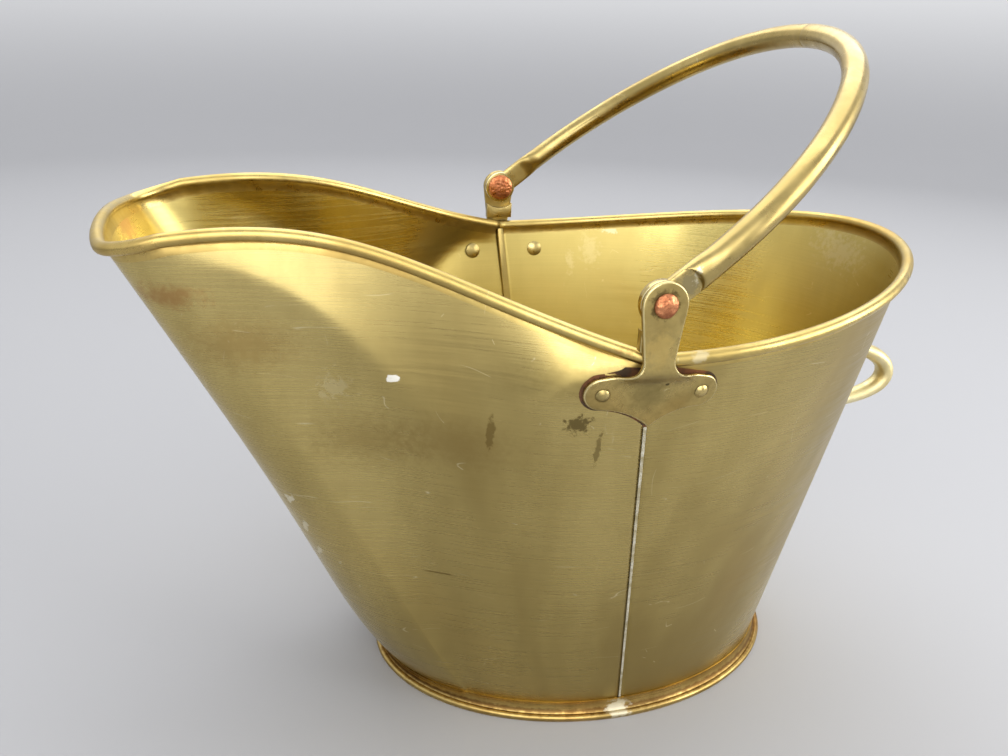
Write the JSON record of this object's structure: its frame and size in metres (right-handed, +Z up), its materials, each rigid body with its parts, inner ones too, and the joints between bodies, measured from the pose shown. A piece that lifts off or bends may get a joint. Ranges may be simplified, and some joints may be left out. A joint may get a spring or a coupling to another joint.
{
  "type": "coal scuttle",
  "caption": "Brass helmet coal scuttle: oval foot, flared body with a long pouring lip, rolled wired rim, swinging tube bail on riveted ears and a rear tipping grip.",
  "frame": {"origin": "on the floor, in the mirror plane, midway between the lip's front edge and the rear grip's outermost point", "axes": "+X to the rear, where the grip is (the pouring lip points along -X); +Y to the right-hand ear, square to the mirror plane; +Z up"},
  "size_m": [0.5236, 0.32, 0.415],
  "materials": {
    "brass_sheet": "brushed sheet brass with an olive tarnish",
    "foot_brass": "brushed brass, rubbed bright along the bead",
    "cast_brass": "filed cast brass with dark grime in the corners",
    "rivet_brass": "brass rivet heads, hammered and rubbed",
    "tube_brass": "drawn brass tube, polished by the hand along the top",
    "grip_brass": "cast brass, polished by the hand",
    "copper": "copper rivets with hammered heads",
    "solder": "grey soft solder wiped along the seam",
    "steel_wire": "plain steel wire, sealed inside the rolled rim"
  },
  "bodies": {
    "bucket": {"front_shell": "brass_sheet", "rear_shell": "brass_sheet", "front_rim_wire": "steel_wire", "rear_rim_wire": "steel_wire", "left_seam_fold": "brass_sheet", "right_seam_fold": "brass_sheet", "left_seam_solder": "solder", "right_seam_solder": "solder", "base_plate": "brass_sheet", "foot_ring": "foot_brass", "left_ear": "cast_brass", "right_ear": "cast_brass", "left_ear_rivets": "rivet_brass", "right_ear_rivets": "rivet_brass", "left_pivot_rivet": "copper", "right_pivot_rivet": "copper", "rear_grip": "grip_brass", "rear_grip_rivets": "rivet_brass"},
    "bail": {"bail_handle": "tube_brass"}
  },
  "joints": [
    {"name": "bail_swing", "type": "hinge", "parent": "bucket", "child": "bail", "pos_m": [0.00139, 0, 0.2912], "axis": [0, 1, 0], "range_deg": [-132, 42]}
  ]
}
